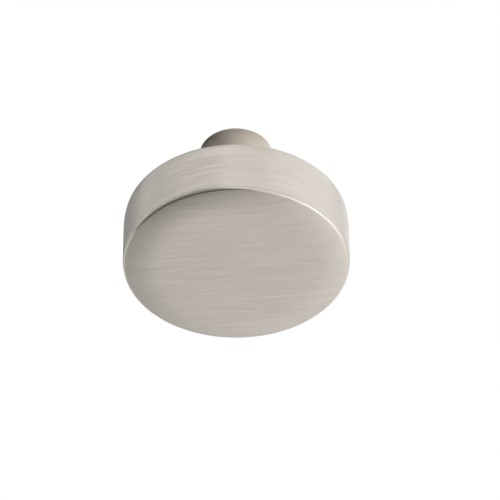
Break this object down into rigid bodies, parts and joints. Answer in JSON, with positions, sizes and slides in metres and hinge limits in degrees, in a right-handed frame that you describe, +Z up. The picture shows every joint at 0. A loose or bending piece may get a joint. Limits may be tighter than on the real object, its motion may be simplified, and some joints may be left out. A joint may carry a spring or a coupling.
{
  "type": "cabinet knob",
  "caption": "Drum-shaped cabinet knob in brushed satin nickel on a straight stem, with a tapped blind hole in the foot for a screw through a door or drawer front.",
  "frame": {"origin": "middle of the stem's foot, in the plane of the door that the knob is fixed to", "axes": "+Z up on an upright door, +Y into the door along the knob's axis, so the face looks along -Y; +X to the right of someone facing the door"},
  "size_m": [0.032, 0.0225, 0.032],
  "materials": {
    "satin_nickel": "brushed satin nickel plating over a die-cast body: straight brush lines across the face, lines round the side of the head, a front edge rubbed a little brighter, and a fine turned satin on the stem"
  },
  "bodies": {
    "root": {"knob": "satin_nickel"}
  },
  "joints": []
}
